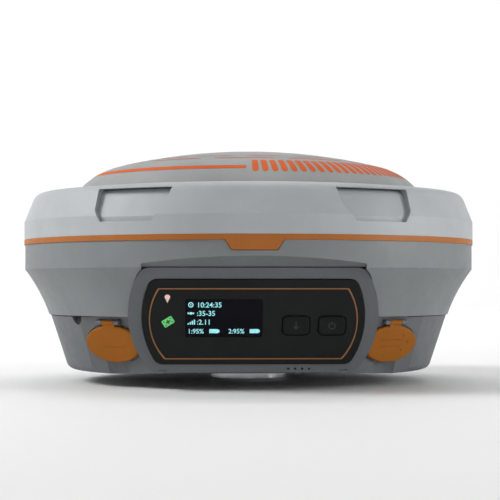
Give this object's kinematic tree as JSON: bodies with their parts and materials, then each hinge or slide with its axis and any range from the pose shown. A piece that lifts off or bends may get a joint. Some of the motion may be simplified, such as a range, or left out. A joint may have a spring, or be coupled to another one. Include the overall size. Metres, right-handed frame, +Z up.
{
  "type": "gnss receiver",
  "caption": "Round pole-mounted GNSS rover receiver with a domed antenna cover, tilted front display with push buttons, hinged port covers and a rear battery bay.",
  "frame": {"origin": "antenna reference point: centre of the pole boss's underside, on the axis", "axes": "+Z up along the pole axis, the display faces -Y, +X is to the right seen from the front"},
  "size_m": [0.186, 0.186, 0.0946],
  "materials": {
    "dome_grey": "satin",
    "shell_grey": "satin",
    "lower_grey": "satin",
    "base_grey": "satin",
    "trim_orange": "satin",
    "panel_black": "satin",
    "inlay_orange": "satin",
    "display_glass": "gloss",
    "module_black": "gloss",
    "key_rubber": "matt",
    "lens_white": "gloss",
    "lens_green": "gloss",
    "cover_orange": "matt",
    "pin_steel": "brushed",
    "screw_steel": "brushed",
    "boss_chrome": "polished",
    "seal_orange": "matt",
    "seal_black": "matt",
    "battery_black": "matt",
    "frame_black": "matt",
    "contact_gold": "polished",
    "latch_orange": "satin",
    "board_green": "satin",
    "shield_tin": "satin",
    "socket_metal": "satin",
    "plate_aluminium": "satin",
    "patch_ceramic": "matt"
  },
  "bodies": {
    "receiver": {"amplifier_board": "board_green", "amplifier_shield": "shield_tin", "antenna_lead": "seal_black", "antenna_plate": "plate_aluminium", "base_housing": "base_grey", "base_screws": "screw_steel", "base_seal": "seal_black", "battery_contacts": "contact_gold", "battery_cradle": "frame_black", "board_screws": "screw_steel", "boss_screws": "screw_steel", "breather_vent": "seal_black", "button_switches": "frame_black", "buzzer": "frame_black", "contact_blocks": "frame_black", "cover_hinge_pins": "pin_steel", "cradle_screws": "screw_steel", "display_module": "module_black", "display_window": "display_glass", "dome_cover": "dome_grey", "dome_seal": "seal_orange", "door_hinge_pin": "pin_steel", "door_seal": "seal_black", "feed_pins": "contact_gold", "front_bezel": "base_grey", "front_board": "board_green", "front_board_screws": "screw_steel", "front_panel": "panel_black", "gnss_module": "shield_tin", "lead_plugs": "contact_gold", "location_lens": "lens_white", "lower_patch": "patch_ceramic", "lower_shell": "lower_grey", "main_board": "board_green", "modem_module": "shield_tin", "panel_inlay": "inlay_orange", "plate_screws": "screw_steel", "pole_boss": "boss_chrome", "radio_module": "shield_tin", "rear_frame": "base_grey", "satellite_lens": "lens_green", "serial_contacts": "contact_gold", "serial_insert": "frame_black", "serial_socket": "socket_metal", "shell_seal": "seal_black", "sim_tray": "frame_black", "status_leds": "lens_white", "trim_band": "trim_orange", "upper_patch": "patch_ceramic", "upper_shell": "shell_grey", "usb_socket": "shield_tin", "wireless_module": "shield_tin"},
    "function_button": {"function_button": "key_rubber"},
    "power_button": {"power_button": "key_rubber"},
    "port_cover_left": {"port_cover_left": "cover_orange"},
    "port_cover_right": {"port_cover_right": "cover_orange"},
    "battery_door": {"battery_door": "base_grey"},
    "door_latch": {"door_latch": "latch_orange"},
    "battery_a": {"battery_a": "battery_black"},
    "battery_b": {"battery_b": "battery_black"}
  },
  "joints": [
    {"name": "function_button_press", "type": "slide", "parent": "receiver", "child": "function_button", "axis": [0, 0.9759, 0.2181], "range_m": [0, 0.0007], "stiffness_N_per_m": 1200, "springref_m": -0.0004},
    {"name": "power_button_press", "type": "slide", "parent": "receiver", "child": "power_button", "axis": [0, 0.9759, 0.2181], "range_m": [0, 0.0007], "stiffness_N_per_m": 1200, "springref_m": -0.0004},
    {"name": "port_cover_left_hinge", "type": "hinge", "parent": "receiver", "child": "port_cover_left", "pos_m": [-0.05463, -0.05758, 0.02514], "axis": [-0.788, 0.6157, 0], "range_deg": [0, 105]},
    {"name": "port_cover_right_hinge", "type": "hinge", "parent": "receiver", "child": "port_cover_right", "pos_m": [0.05463, -0.05758, 0.02514], "axis": [-0.788, -0.6157, 0], "range_deg": [0, 105]},
    {"name": "battery_door_hinge", "type": "hinge", "parent": "receiver", "child": "battery_door", "pos_m": [0.04145, 0.08, 0.0414], "axis": [0, 0, -1], "range_deg": [0, 110]},
    {"name": "door_latch_turn", "type": "hinge", "parent": "battery_door", "child": "door_latch", "pos_m": [-0.0332, 0.078, 0.0414], "axis": [0, -1, 0], "range_deg": [0, 90]},
    {"name": "battery_a_eject", "type": "slide", "parent": "receiver", "child": "battery_a", "axis": [0, 1, 0], "range_m": [0, 0.005]},
    {"name": "battery_b_eject", "type": "slide", "parent": "receiver", "child": "battery_b", "axis": [0, 1, 0], "range_m": [0, 0.005]}
  ],
  "couplings": [
    {"joint": "battery_a_eject", "follows": "battery_door_hinge", "m_per_rad": 0.0026},
    {"joint": "battery_b_eject", "follows": "battery_door_hinge", "m_per_rad": 0.0026}
  ]
}
